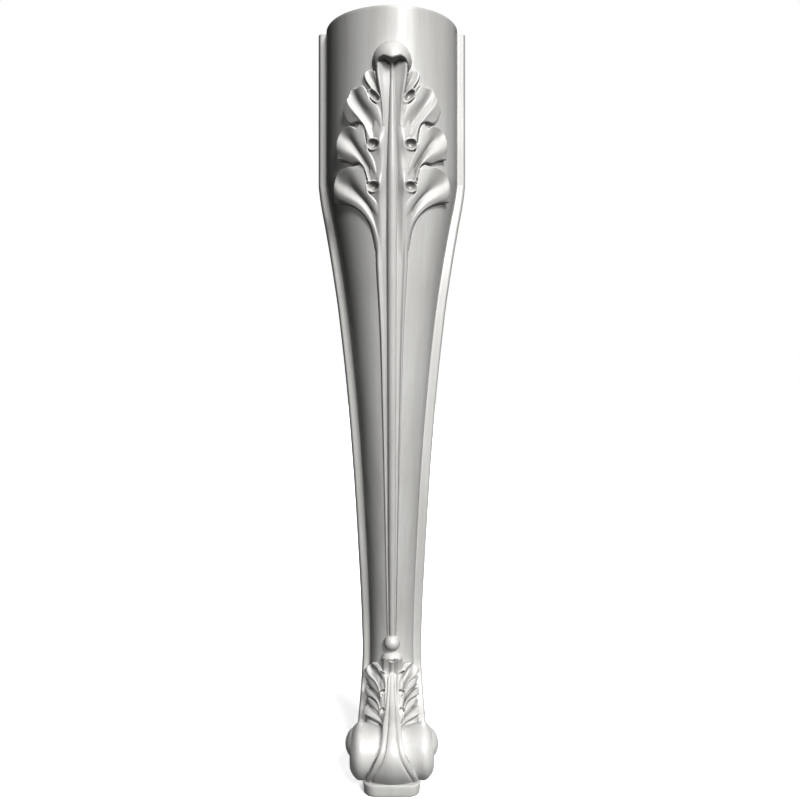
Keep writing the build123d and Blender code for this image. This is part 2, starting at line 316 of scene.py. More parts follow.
# ------------------------------------------------------------------ leg body
def section_points(q):
    """Outline of the body for rows q, local (across, back)."""
    r, f, b, w, deep = (q[:, i:i + 1] for i in (3, 4, 5, 6, 7))
    half = []
    a = np.linspace(0, math.pi / 2, 62)[None, :-1]
    fx, fy = r * np.sin(a), -f * np.cos(a)
    keep = 60
    half.append((fx[:, :keep], fy[:, :keep]))
    rho = 0.9
    p = np.linspace(0, math.pi / 2, 5)[None, :]
    half.append((r + rho - rho * np.cos(p), -rho + rho * np.sin(p)))
    t = np.linspace(0, 1, 4)[None, 1:-1]
    half.append((r + rho + (b - r - rho) * t, 0 * r + 0 * t))
    p = np.linspace(0, math.pi / 2, 8)[None, :]
    half.append((b + (w - b) * np.sin(p), ARRIS * (1 - np.cos(p))))
    c = 5.0
    s = (deep - ARRIS) / w
    ex, ey = c, deep - c * s
    t = np.linspace(0, 1, 30)[None, 1:]
    half.append((w + (ex - w) * t, ARRIS + (ey - ARRIS) * t))
    t = np.linspace(0, 1, 5)[None, 1:]
    # rounded rear corner
    k = np.sin(t * math.pi / 2)
    half.append((ex * (1 - t), ey + c * s * 0.58 * k * (2 - k) * 1.0))
    x = np.concatenate([h[0] * np.ones_like(r) for h in half], 1)
    y = np.concatenate([h[1] * np.ones_like(r) for h in half], 1)
    x = np.concatenate([x, -x[:, -2:0:-1]], 1)
    y = np.concatenate([y, y[:, -2:0:-1]], 1)
    return x, y


def body():
    us = np.concatenate([np.linspace(-(TOP_Z - BLOCK_Z) + 0.8, -1.2, 60), [-0.6, 0.0, 0.6],
                         np.linspace(1.4, U[15], 170)[:-1], np.linspace(U[15], U_END, 60)])
    q = row(us)
    x, y = section_points(q)
    t = np.radians(q[:, 2:3])
    pts = np.stack([x, q[:, 0:1] + y * np.cos(t), q[:, 1:2] - y * np.sin(t)], -1)
    # eased top edge
    first = pts[0].copy()
    cen = np.array([0, 45.0, 0])
    rim = []
    for dz, ins in ((0.24, 0.06), (0.56, 0.24), (0.8, 0.8)):
        ring = first.copy()
        v = ring - cen
        v[:, 2] = 0
        ring = ring - v / np.linalg.norm(v, axis=1)[:, None] * ins
        ring[:, 2] = TOP_Z - 0.8 + dz
        rim.append(ring)
    pts = np.concatenate([np.stack(rim[::-1]), pts])
    nr, nc = pts.shape[:2]
    faces = grid_faces(nr, nc, close=True)
    faces.append(tuple(range(nc))[::-1])
    faces.append(tuple((nr - 1) * nc + j for j in range(nc)))
    ob = make("leg_body", pts.reshape(-1, 3), faces)
    face_out(ob)
    creases(ob, 35)
    return ob


PIECES.append(body())

# ---------------------------------------------------------------- knee leaf
KNEE = (-135.0, 100.0)
tip = [
    [(391.9, 130, 1.8), (391.9, 100, 2.0), (391.9, 80, 2.2), (391.9, 70, 2.6), (391.9, 65, 3.4), (391.9, 60.2, 4.6)],
    [(387.9, 130, 1.8), (388.9, 100, 1.9), (389.8, 80, 2.0), (390.0, 70, 2.4), (390.0, 65, 3.2), (389.9, 59.6, 4.4)],
    [(385.9, 128, 3.0), (386.6, 100, 2.9), (386.4, 80, 3.0), (386.0, 70, 3.4), (385.8, 64, 4.4), (385.8, 57.6, 5.6)],
    [(384.4, 126, 3.9), (383.6, 102, 4.3), (382.2, 84, 4.7), (381.0, 73, 5.0), (380.6, 65, 5.6), (380.6, 58.0, 6.4)],
    [(383.2, 125, 4.4), (382.0, 103, 5.2), (379.9, 88, 6.0), (378.0, 76, 6.4), (377.4, 67.5, 6.8), (378.0, 60.6, 7.2)],
    [(382.0, 125, 3.2), (380.8, 104, 3.5), (378.6, 90, 4.0), (376.4, 78, 4.6), (375.6, 70, 5.2), (376.0, 63.8, 5.8)],
]
lobe_a = [
    [(381.2, 100, 3.4), (380.4, 93, 3.2), (378.2, 84.5, 3.2), (376.0, 76.5, 3.4), (375.2, 70.6, 3.4)],
    [(380.4, 100, 2.4), (378.4, 92.6, 1.6), (375.2, 83.5, 1.3), (372.2, 76, 1.6), (370.9, 69.8, 2.3)],
    [(379.8, 99.8, 3.2), (376.6, 92.4, 2.8), (372.0, 83.8, 2.5), (368.6, 76.6, 2.5), (367.4, 69.8, 2.7)],
    [(378.8, 99.6, 4.6), (374.8, 92, 4.9), (369.6, 84.6, 4.8), (366, 78, 4.4), (364.6, 71.8, 3.7)],
    [(378.0, 99.2, 4.2), (373.6, 92.4, 4.5), (368.4, 85.8, 4.4), (364.4, 79.8, 4.0), (362.7, 74.8, 3.4)],
]
web = [
    [(382.2, 108, 3.8), (380.8, 101.5, 4.2), (378.8, 97.6, 4.4), (374.4, 91.6, 4.4), (370.8, 87.8, 3.8)],
    [(381.4, 110, 3.8), (379.2, 104.0, 4.2), (376.6, 99.6, 4.4), (372.6, 93.6, 4.4), (369.2, 88.4, 3.8)],
    [(380.2, 112, 3.8), (377.0, 105.4, 4.2), (373.4, 101.2, 4.4), (369.4, 96.0, 4.4), (367.0, 89.6, 3.8)],
]
lobe_b = [
    [(381.8, 126, 4.2), (381.0, 116, 4.2), (379, 109, 4.3), (375.8, 104, 4.5), (371.6, 100.8, 4.6), (368.6, 95.6, 4.7),
     (366.4, 90.2, 4.8), (364, 86.4, 4.7), (361.6, 84.4, 4.3)],
    [(380.4, 127, 4.2), (378.4, 117, 4.4), (374.8, 109.5, 4.6), (369.6, 103.4, 4.8), (365, 97.2, 4.8), (361.6, 90.2, 4.6),
     (359.4, 85.6, 4.2)],
    [(379, 129, 3.4), (376.0, 120, 3.4), (371, 111.6, 3.5), (365.4, 104.6, 3.6), (360.4, 97.4, 3.5), (357.6, 90.6, 3.3),
     (356.8, 87.6, 3.1)],
    [(377.0, 131, 2.4), (371.8, 124.0, 1.6), (366.6, 116.8, 1.0), (360.2, 107.4, 0.7), (355.2, 98.8, 0.9),
     (352.2, 91.0, 1.4), (352.0, 88.6, 1.6)],
    [(374.0, 132.6, 3.0), (369.8, 126.4, 3.0), (363.4, 118.4, 3.1), (357.0, 110.0, 3.2), (351.2, 101.8, 3.1),
     (348.8, 94.6, 2.8), (349.2, 90.6, 2.6)],
    [(370.8, 145, 4.7), (368.6, 137, 5.1), (365.6, 128.4, 5.6), (360.0, 119.6, 5.9), (353.2, 112.8, 5.9), (347.4, 106.2, 5.4),
     (345.6, 100.6, 4.7)],
    [(368.4, 146, 4.7), (367.2, 138, 5.0), (365.4, 129.4, 5.4), (361.2, 121.6, 5.5), (353.6, 116.8, 5.2), (347.0, 112.4, 4.8),
     (343.6, 106.6, 4.2)],
    [(367.0, 146, 4.7), (365.9, 139, 4.9), (364.6, 130, 5.0), (361.7, 123.8, 4.8), (357.2, 122.2, 4.4), (350.2, 123.9, 3.9),
     (345.0, 118.8, 3.6), (342.0, 112, 3.2)],
]
lobe_d = [
    [(376, 172, 4.4), (372.4, 158, 4.3), (369, 152, 4.4), (366.8, 146, 4.3), (365.8, 138, 3.6), (364.4, 129.5, 3.2),
     (361.8, 123.8, 3.0), (359.2, 121.4, 2.9)],
    [(375.4, 174, 4.2), (370.6, 160, 4.3), (366, 151, 4.2), (362, 143, 4.0), (358.8, 135, 3.8), (355.8, 127.6, 3.6)],
    [(374.2, 177, 2.8), (368.8, 164, 2.5), (363, 154.0, 2.4), (357, 144.8, 2.4), (352.4, 136.6, 2.5), (349.6, 129.4, 3.2),
     (348.6, 125.6, 3.9)],
    [(372.4, 180, 1.6), (368.4, 168.5, 0.8), (362.6, 158, 0.4), (356.2, 148.6, 0.3), (349.6, 141.0, 0.5), (343, 135.2, 1.1),
     (340.4, 131.4, 1.7)],
    [(370.6, 181, 3.0), (367.4, 171.7, 3.0), (362.6, 161.4, 3.0), (356.6, 153.4, 3.0), (350, 147.6, 3.1), (343.0, 142.4, 3.0),
     (338.2, 138.4, 2.8), (337.4, 136.4, 2.6)],
    [(368.4, 182, 4.9), (366.2, 173, 5.3), (361.6, 163.4, 5.8), (355.6, 157.6, 5.9), (348.4, 153.6, 5.8), (341.2, 150.6, 5.3),
     (335.4, 147.4, 4.4)],
    [(367.4, 183.5, 4.7), (365.8, 174.5, 5.0), (361.8, 165.4, 5.3), (354.6, 160.6, 5.3), (347.2, 157.2, 5.1),
     (340.4, 154.6, 4.5), (336.0, 152.2, 3.8)],
    [(367.0, 186, 4.6), (366.8, 177, 4.8), (366.0, 170, 4.9), (363.0, 165.6, 4.8), (358.4, 163.5, 4.5),
     (352.5, 164.2, 3.7), (347, 162.3, 3.5), (341.5, 160.6, 3.4), (336.6, 160.4, 3.1)],
]
lobe_e = [
    [(383, 236, 1.6), (381.4, 222, 2.8), (378.6, 208, 3.9), (374.4, 199.5, 4.3), (369.6, 194.5, 4.5), (367.2, 188, 4.0),
     (366.8, 179, 3.6), (365.7, 171.5, 3.2), (362.6, 166.4, 3.0), (358.8, 163.8, 2.9)],
    [(382.2, 238, 1.4), (379.6, 224, 2.6), (375.6, 211, 3.8), (369.4, 199.4, 4.2), (362.8, 189, 4.2), (357.8, 179.5, 4.1),
     (354.6, 171.2, 3.9), (352.6, 166, 3.7)],
    [(381.2, 239, 1.1), (378.4, 226, 1.5), (373.8, 213, 2.0), (366.6, 200.8, 2.3), (358.2, 189.8, 2.4), (351.6, 179.4, 2.7),
     (347.6, 171.0, 3.4), (346.4, 167, 4.0)],
    [(379.8, 241, 1.0), (378.0, 230, 0.8), (374.6, 217, 0.4), (369.2, 206.6, 0.2), (362.6, 198.4, 0.1), (354.8, 191.2, 0.2),
     (346.2, 184.8, 0.6), (339.8, 179.4, 1.1), (337.0, 173.6, 1.7)],
    [(378.6, 242, 2.6), (376.4, 230, 2.5), (372.4, 217.8, 2.5), (366.4, 208.2, 2.6), (359.0, 200.8, 2.7),
     (350.8, 195.0, 2.8), (342.0, 189.6, 2.8), (335.2, 184.4, 2.6), (333.9, 180.8, 2.4)],
    [(377.6, 246, 2.5), (375.0, 231, 3.2), (369.8, 219.4, 3.8), (362.8, 210.4, 4.1), (354.4, 203.6, 4.4),
     (345.8, 199.2, 4.5), (338.6, 196.0, 4.2), (333.0, 192.8, 3.6)],
    [(376.4, 248, 1.9), (373.6, 232.5, 2.6), (368.0, 220.6, 3.2), (360.6, 212.0, 3.5), (351.6, 205.8, 3.7),
     (343.6, 202.0, 3.7), (337.6, 199.4, 3.5), (333.5, 196.4, 3.1)],
    [(375.0, 250, 0.4), (373.0, 238.0, 1.0), (370.3, 227.2, 1.7), (366.6, 219.4, 1.9), (362.2, 213.2, 2.1),
     (356.4, 208.2, 2.3), (348.5, 205.0, 2.4), (341.1, 203.4, 2.4), (334.0, 203.2, 2.2)],
]
bed = [
    [(391.9, 262, 0.6), (391.9, 215, 0.8), (391.9, 170, 1.2), (391.9, 126, 1.8)],
    [(388.6, 262, 0.6), (388.6, 215, 0.8), (388.6, 170, 1.2), (389.0, 126, 1.8)],
    [(386.0, 262, 0.8), (385.6, 215, 1.2), (385.6, 170, 1.5), (387.2, 126, 1.8)],
]
flank = [
    [(386.4, 262, 0.5), (386, 240, 0.9), (385.8, 215, 1.3), (385.8, 190, 1.6), (386.2, 160, 1.7), (387.4, 135, 1.8),
     (388.5, 112, 1.8), (389.4, 95, 1.4), (389.8, 82, 0.4)],
    [(384.6, 262, 0.6), (383.8, 240, 1.4), (383.2, 215, 2.6), (382.8, 190, 3.5), (383.6, 160, 3.7), (385.0, 135, 3.5),
     (386.0, 112, 3.0), (387.2, 95, 2.0), (388.0, 82, 0.6)],
    [(382.4, 262, 0.7), (381.6, 240, 2.0), (380.4, 215, 3.9), (380.0, 190, 4.5), (380.4, 160, 4.2), (382.0, 135, 4.2),
     (383.4, 112, 3.8), (384.4, 95, 2.6), (385.4, 82, 0.8)],
    [(379.2, 262, 1.5), (378.4, 240, 2.2), (377, 215, 3.2), (376.6, 190, 4.0), (377, 160, 3.8), (378.6, 135, 3.9),
     (380.8, 112, 3.8), (382.2, 95, 3.0), (383.4, 83, 1.4)],
    [(376.2, 262, 0.1), (375.2, 248, 0.8), (373.0, 225, 1.2), (370, 190, 2.4), (369.5, 165, 2.4), (370.5, 140, 2.8),
     (376.5, 112, 3.0), (380, 98, 2.6), (381.8, 86, 1.6)],
]


def flared(rails, start, reach, lift):
    """Raise the rails towards their outer tips, so the lobes curl off the round."""
    return [[(x, y, h + lift * min(max((start - x) / reach, 0.0), 1.0) ** 1.4) for x, y, h in one] for one in rails]


def knee_leaf():
    step = 0.4
    gs = np.arange(-72.0, 0.001, step)
    gu = np.arange(-121.0, 92.0, step)
    ps = [patch(r, KNEE) for r in (tip, lobe_a, web, flank, bed)]
    ps += [patch(flared(r, 354.0, 20.0, 3.4), KNEE) for r in (lobe_b, lobe_d, lobe_e)]
    hh = heights(ps, gs, gu, -1.6)
    px = 1.0 / step

    # the ball, with its underside curving in over the tip of the leaf
    c0 = laid([(391.9, 59.3, 4.0)], KNEE)[0]
    top = laid([(371.0, 71, 6), (374, 66, 8), (375.5, 60.9, 10), (378.5, 56.5, 11), (382.8, 54.2, 11.5), (387, 55.4, 12),
                (391.9, 57.2, 12)], KNEE)
    low = laid([(371.0, 74, 5), (374.0, 71, 6), (375.4, 65.5, 7), (378.4, 60.6, 8), (383.8, 59.2, 8), (389, 61.4, 8),
                (391.9, 62.4, 8)], KNEE)
    ut = np.interp(gs, top[:, 0], top[:, 1])
    ul = np.interp(gs, low[:, 0], low[:, 1])
    ul = np.maximum(ul, ut + 0.8)
    rad, sink = 18.4, 4.6
    ds, du = gs[None, :], gu[:, None] - c0[1]
    ball = np.sqrt(np.maximum(rad ** 2 - ds ** 2 - du ** 2, 0)) - sink
    at_top = np.sqrt(np.maximum(rad ** 2 - gs ** 2 - (ut - c0[1]) ** 2, 0)) - sink
    tau = np.clip((gu[:, None] - ut[None, :]) / (ul - ut)[None, :], 0, 1)
    under = at_top[None, :] * np.sqrt(np.maximum(1 - tau ** 2, 0)) + 3.0 * (1 - np.sqrt(np.maximum(1 - tau ** 2, 0)))
    ball = np.where(gu[:, None] <= ut[None, :], ball, np.minimum(under, at_top[None, :]))
    ball = np.where(gu[:, None] > ul[None, :], -9.0, ball)
    ball = np.where(np.hypot(ds, du) < rad, ball, -9.0)
    hh = np.maximum(hh, ball)

    # mounds beside the eyelets, their raised rims, and the bowls themselves
    def at(x, y, h=4.0):
        return laid([(x, y, h)], KNEE)[0][:2]
    solid = hh > 0.5
    for x, y in ((379.6, 143.5), (379.6, 185.0)):
        c = at(x, y)
        hh = hh + solid * 1.9 * bump(gs, gu, c[0], c[1], 1.8, 5.6)
    hh = blur(hh, 0.75 * px * 0.4)
    for x, y, ra, rb, turn in ((374.0, 95.6, 3.3, 6.2, -0.66), (372.7, 144.2, 4.8, 4.6, 0), (372.6, 186.5, 4.7, 4.5, 0)):
        c = at(x, y)
        ds, du = gs[None, :] - c[0], gu[:, None] - c[1]
        ct, st = math.cos(turn), math.sin(turn)
        a, b = (ds * ct + du * st) / ra, (-ds * st + du * ct) / rb
        rr = np.sqrt(a * a + b * b)
        mean = min(ra, rb)
        near = (rr < 1.25) & (rr > 1.0) & (hh > 2.0)
        level = float(np.clip(np.median(hh[near]), 3.2, 5.0))
        lip = np.clip((1.42 - rr) / 0.36, 0, 1)
        lip = lip * lip * (3 - 2 * lip)
        hh = hh + (level - hh) * lip * 0.85
        hh = hh + 0.7 * np.exp(-0.5 * ((rr - 1.14) * mean / 0.6) ** 2)
        bowl = 5.2 * (1 - np.sqrt(np.clip(1 - rr ** 2, 0, 1))) - 0.1
        hh = np.where(rr < 1.0, np.minimum(hh, bowl), hh)
    hh = blur(hh, 0.5)
    gs2, h2 = sym(gs, hh)
    return relief("knee_leaf", gs2, gu, h2, h2 > -1.35)


PIECES.append(knee_leaf())

# -------------------------------------------------- stems and rib of the shank
# distance down, half width of the stem, its height, where the rib sits
def sweep(name, us, ring):
    """Closed tube on the front: ring(u) gives (s, h) arrays, one row per u."""
    s, h = ring(us)
    pts = place(s, us[:, None] * np.ones_like(s), h)
    nr, nc = s.shape
    faces = grid_faces(nr, nc, close=True)
    faces.append(tuple(range(nc))[::-1])
    faces.append(tuple((nr - 1) * nc + j for j in range(nc)))
    ob = make(name, pts.reshape(-1, 3), faces)
    face_out(ob)
    creases(ob, 50)
    return ob


stem_out = laid([(375.3, 262, 2), (376.6, 285, 2), (378.2, 310, 2), (379.6, 340, 2), (380.6, 370, 2), (381.6, 410, 2),
                 (382.8, 450, 2), (384.0, 500, 2), (385.2, 550, 2), (386.2, 600, 2), (387.2, 636, 2)], (0, 520))
rib_side = laid([(391.9 - 1.5, 63.6, 6.2), (391.9 - 1.6, 66, 4.9), (391.9 - 1.7, 70, 3.5), (391.9 - 1.9, 80, 2.5),
                 (391.9 - 2.7, 100, 2.2), (391.9 - 3.5, 124, 2.1), (391.9 - 4.3, 148, 2.2), (391.9 - 4.9, 172, 2.3),
                 (391.9 - 5.1, 230, 2.2), (391.9 - 4.9, 280, 2.0), (391.9 - 4.5, 340, 1.4), (391.9 - 4.2, 440, 1.0),
                 (391.9 - 3.7, 550, 0.9), (391.9 - 3.1, 600, 0.9), (391.9 - 2.9, 636, 0.9)], (-130, 520))
RIB_U, RIB_R, RIB_H = rib_side[:, 1], np.abs(rib_side[:, 0]), rib_side[:, 2]
U_BEAD = float(laid([(391.9, 640, 3)], (380, 520))[0][1])


def rib_lift(u):
    return np.interp(u, RIB_U, RIB_H)


def rib_ring(us):
    r = np.maximum(np.interp(us, RIB_U, RIB_R), 1.0)[:, None]
    a = np.linspace(0, 2 * math.pi, 28, endpoint=False)[None, :]
    lift = rib_lift(us)[:, None]
    s = r * np.sin(a)
    h = lift + r * np.cos(a) * np.where(np.cos(a) > 0, 0.95, 1.0)
    h = np.where(np.cos(a) < 0, np.maximum(h, lift - 4.0), h)
    return s, h


PIECES.append(sweep("centre_rib", np.linspace(RIB_U[0], U_BEAD, 420), rib_ring))


def stem_ring(side):
    def ring(us):
        w = np.interp(us, stem_out[:, 1], np.abs(stem_out[:, 0]))[:, None]
        r = np.interp(us, RIB_U, RIB_R)[:, None]
        k = np.clip((w - r) / 8.0, 0.22, 1.0)            # everything slims towards the ankle
        hk = 0.55 + 0.45 * k
        span = np.maximum(w - r, 1.2)
        prof = [(1.0, -1.6, 0.05), (1.0, -0.2, 0.04), (0.99, 0.35, 0.02), (0.95, 1.05, 0), (0.90, 1.65, 0), (0.84, 2.15, 0),
                (0.78, 2.5, 0), (0.72, 2.62, 0), (0.67, 2.5, 0), (0.62, 2.1, 0), (0.57, 1.6, 0), (0.52, 1.2, 0),
                (0.46, 0.98, 0), (0.36, 0.9, 0), (0.22, 0.9, 0), (0.08, 0.85, 0), (-0.1, 0.6, 0), (-0.2, -1.6, 0)]
        s = np.concatenate([-(r + span * p[0] + p[2]) for p in prof], 1)
        h = np.concatenate([np.where(p[1] > 0, p[1] * hk, p[1]) + 0 * r for p in prof], 1)
        return side * s, h
    return ring


PIECES.append(sweep("stem_left", np.linspace(62.0, U_BEAD, 260), stem_ring(1)))
PIECES.append(sweep("stem_right", np.linspace(62.0, U_BEAD, 260), stem_ring(-1)))

# --------------------------------------------------------- beads at the ankle
def turned(name, centre, rx, rz, tilt, bulge=0.0, flat=1.0, low=1.0, n=64, m=40):
    """Bead cut by a gouge: not quite a ball, a little fuller below."""
    th = np.linspace(0, math.pi, m + 2)[1:-1]
    ph = np.linspace(0, 2 * math.pi, n, endpoint=False)
    z = np.cos(th)[:, None] * rz
    z = np.where(z < 0, z * low, z)
    r = (np.sin(th) * (1 - bulge * np.cos(th)))[:, None] * rx
    x, y, z = r * np.cos(ph), r * np.sin(ph) * flat, z + 0 * ph[None, :]
    c, k = math.cos(tilt), math.sin(tilt)
    pts = np.stack([x, y * c - z * k, y * k + z * c], -1).reshape(-1, 3) + np.array(centre)
    poles = np.array([[0, -rz * k, rz * c], [0, rz * low * k, -rz * low * c]]) + np.array(centre)
    pts = np.concatenate([pts, poles])
    faces = grid_faces(m, n, close=True)
    faces += [(m * n, (j + 1) % n, j) for j in range(n)]
    faces += [(m * n + 1, (m - 1) * n + j, (m - 1) * n + (j + 1) % n) for j in range(n)]
    ob = make(name, pts, faces)
    face_out(ob)
    return ob


PIECES.append(turned("bead_small", (0, 39.3, 122.4), 8.1, 8.0, math.radians(-12), 0.02))
PIECES.append(turned("bead_large", (0, 43.6, 105.4), 10.4, 8.0, math.radians(-12), 0.02, 0.72, 0.4))

# ----------------------------------------------------------------- foot leaf
HEEL = (U[15] - 14.0, U_OVER)
f_tip = [
    [(391.9, 725, 3.0), (391.9, 700, 3.0), (391.9, 680, 3.4), (391.9, 669, 5.0), (391.9, 662.2, 8.2)],
    [(388.6, 720, 2.6), (389.3, 700, 2.4), (389.8, 680, 2.6), (390.1, 669, 4.2), (389.8, 660.8, 8.2)],
    [(386.5, 705, 2.8), (387.6, 690, 2.5), (387.4, 678, 2.7), (386.6, 669, 4.6), (386.6, 658.6, 8.9)],
    [(385, 705, 3.4), (385.8, 690, 3.9), (385.2, 679, 4.4), (384.0, 669, 5.4), (383.6, 659.2, 8.2)],
    [(383.8, 705, 2.4), (384.4, 690, 2.6), (383.8, 680, 2.8), (382.2, 670, 3.8), (381.8, 661.0, 5.0)],
    [(383.0, 705, 2.0), (383.6, 690, 2.2), (382.6, 680, 2.4), (380.0, 669.6, 2.9), (378.4, 661.8, 3.2)],
]
f_b = [
    [(385.8, 700, 2.4), (385.6, 686, 2.6), (384.6, 676, 2.8), (382.6, 668, 2.8), (379, 663.8, 2.6), (374.5, 662.6, 2.5),
     (371.4, 662.6, 2.4)],
    [(385.5, 700, 2.6), (385.3, 688, 2.9), (383.6, 679, 3.1), (379.5, 671.6, 3.2), (375.3, 667.0, 3.1), (371.6, 663.4, 2.9)],
    [(383.4, 702, 1.6), (382.4, 690, 1.1), (380.4, 682, 0.6), (377.0, 675, 0.3), (373.4, 668.6, 0.3), (370.3, 663.9, 0.6)],
    [(382.4, 700, 2.2), (380.8, 690, 2.1), (378.2, 683.0, 2.1), (374.2, 676.6, 2.1), (370.2, 671.0, 2.1), (368.2, 665.4, 1.9)],
    [(381.2, 697, 3.0), (379.4, 689.6, 3.6), (376.6, 683, 3.9), (372.2, 677.8, 4.0), (367.8, 673.6, 3.7), (365.6, 669.2, 3.1)],
    [(379.8, 697, 2.6), (378.4, 690.4, 3.2), (376.2, 684.8, 3.6), (372.6, 680.4, 3.8), (368.0, 677.4, 3.6),
     (365.3, 673.8, 3.2), (364.2, 670.8, 2.8)],
]
f_d = [
    [(380.2, 697, 1.8), (378.6, 690, 1.9), (376.2, 684, 2.0), (372.4, 680, 2.0), (370.2, 679.0, 2.0)],
    [(379.8, 699, 1.6), (375.8, 690.6, 1.6), (371, 685.6, 1.8), (367.6, 681.2, 2.3), (366, 678.4, 2.6)],
    [(380.6, 702, 1.0), (378.2, 697, 0.3), (374.4, 691.6, 0.0), (368.6, 686.2, 0.1), (364.7, 680.8, 0.6)],
    [(380.6, 708, 1.9), (378.8, 701, 1.9), (375.2, 695.4, 1.9), (369.6, 690.6, 2.0), (364.4, 685.8, 1.9)],
    [(380.4, 712, 2.7), (379.2, 705.4, 3.2), (376.2, 699.4, 3.7), (371.0, 695.2, 3.8), (366.6, 692.8, 3.5), (364.2, 690.6, 3.0)],
    [(379.4, 714, 2.3), (378.4, 707.2, 3.0), (376.2, 701.4, 3.5), (372.4, 698.4, 3.6), (368.6, 697.2, 3.4), (364.4, 696, 3.0)],
]
f_e = [
    [(380, 714, 1.6), (379, 706, 1.8), (376.8, 700.2, 1.9), (373, 698, 1.9), (370, 698, 1.9)],
    [(380.4, 717, 1.4), (376, 709, 1.4), (371, 703.8, 1.6), (368, 700.6, 2.1), (366.6, 699.4, 2.4)],
    [(382.6, 722, 0.9), (379.6, 716, 0.4), (375.6, 711, 0.1), (370.2, 706.6, 0.2), (365.6, 702, 0.6)],
    [(383.2, 724.6, 1.6), (380.0, 718, 1.6), (375.6, 713.4, 1.8), (369.6, 709.6, 1.9), (364.7, 705.8, 1.9)],
    [(383.4, 727, 2.2), (380.8, 721.0, 2.8), (376.0, 717.0, 3.4), (369.6, 714.6, 3.6), (363.8, 712.0, 3.1)],
    [(383, 731, 1.8), (381.8, 726.4, 2.4), (379.2, 722, 3.0), (375.2, 719.2, 3.4), (369.2, 717.6, 3.4), (363.0, 715.2, 2.9)],
]
f_flank = [
    [(389.2, 727, 2.0), (389.2, 705, 2.0), (389.6, 685, 2.0), (390, 668, 2.2)],
    [(386.2, 729, 2.2), (386.4, 705, 2.6), (386.6, 685, 2.6), (386.4, 668, 2.4)],
    [(384.0, 731, 2.0), (384.2, 705, 2.6), (384.6, 685, 2.6), (384, 670, 2.2)],
    [(382.6, 731, 1.2), (380.5, 712, 1.3), (379.5, 695, 1.3), (381, 680, 1.5)],
]


def deepen(h):
    return 1.6 + (h - 1.6) * 1.45


def foot_leaf():
    step = 0.26
    gs = np.arange(-38.0, 0.001, step)
    gu = np.arange(HEEL[0] + 6.0, U_OVER - 8.0, step)
    ps = [patch(flared([[(x, y - 1.5 * min(max((376.0 - x) / 9.0, 0.0), 1.0), deepen(h)) for x, y, h in one] for one in r],
                       375.0, 12.0, 3.0), HEEL) for r in (f_b, f_d, f_e)]
    ps += [patch(r, HEEL) for r in (f_tip, f_flank)]
    hh = heights(ps, gs, gu, -1.6)

    def at(x, y, h=3.0):
        return laid([(x, y, h)], HEEL)[0][:2]
    hh = blur(hh, 0.35 / step * 0.6)
    pits, rings = np.zeros_like(hh), np.zeros_like(hh)
    for x, y, ra, rb, turn in ((382.2, 672.0, 1.5, 3.0, -0.75), (382.2, 691.3, 2.3, 3.0, -0.4), (381.6, 709.4, 2.2, 2.8, -0.3)):
        c = at(x, y)
        ds, du = gs[None, :] - c[0], gu[:, None] - c[1]
        ct, st = math.cos(turn), math.sin(turn)
        a, b = (ds * ct + du * st) / ra, (-ds * st + du * ct) / rb
        rr = np.sqrt(a * a + b * b)
        near = (rr < 1.4) & (rr > 1.0) & (hh > 0.6)
        level = float(np.clip(np.median(hh[near]), 2.0, 4.0))
        lip = np.clip((1.6 - rr) / 0.5, 0, 1)
        hh = hh + (level - hh) * lip * lip * (3 - 2 * lip) * 0.8
        hh = hh + 0.8 * np.exp(-0.5 * ((rr - 1.22) * min(ra, rb) / 0.45) ** 2)
        bowl = level * (1 - 0.95 * np.sqrt(np.clip(1 - rr ** 2, 0, 1)))
        hh = np.where(rr < 1.0, np.minimum(hh, bowl), hh)
        # pits: painted shade lifted inside; rings: painted dark outlines round the pits
        pits = np.maximum(pits, np.clip((0.9 - rr) / 0.2, 0, 1))
        rings = np.maximum(rings, 0.85 * np.exp(-((rr - 0.96) * min(ra, rb) / 0.34) ** 2))
    hh = blur(hh, 0.4)
    gs2, h2 = sym(gs, hh)
    return relief("foot_leaf", gs2, gu, h2, h2 > -1.35, 1.5, 0.6, sym(gs, pits)[1], sym(gs, rings)[1])


PIECES.append(foot_leaf())

# -------------------------------------------------------------------- scroll
SCY, SCZ, HALF_W = -1.0, 32.8, 38.8
EYE_Z, EYE_R, EYE_OUT = 40.0, 11.8, 43.35
ROLL = [(0.0, 22.3), (9.0, 22.2), (14.0, 22.8), (20.0, 23.9), (25.0, 25.1), (28.6, 25.6), (31.4, 25.1), (34.2, 23.2),
        (36.6, 20.3), (38.1, 17.6), (HALF_W, 15.6)]


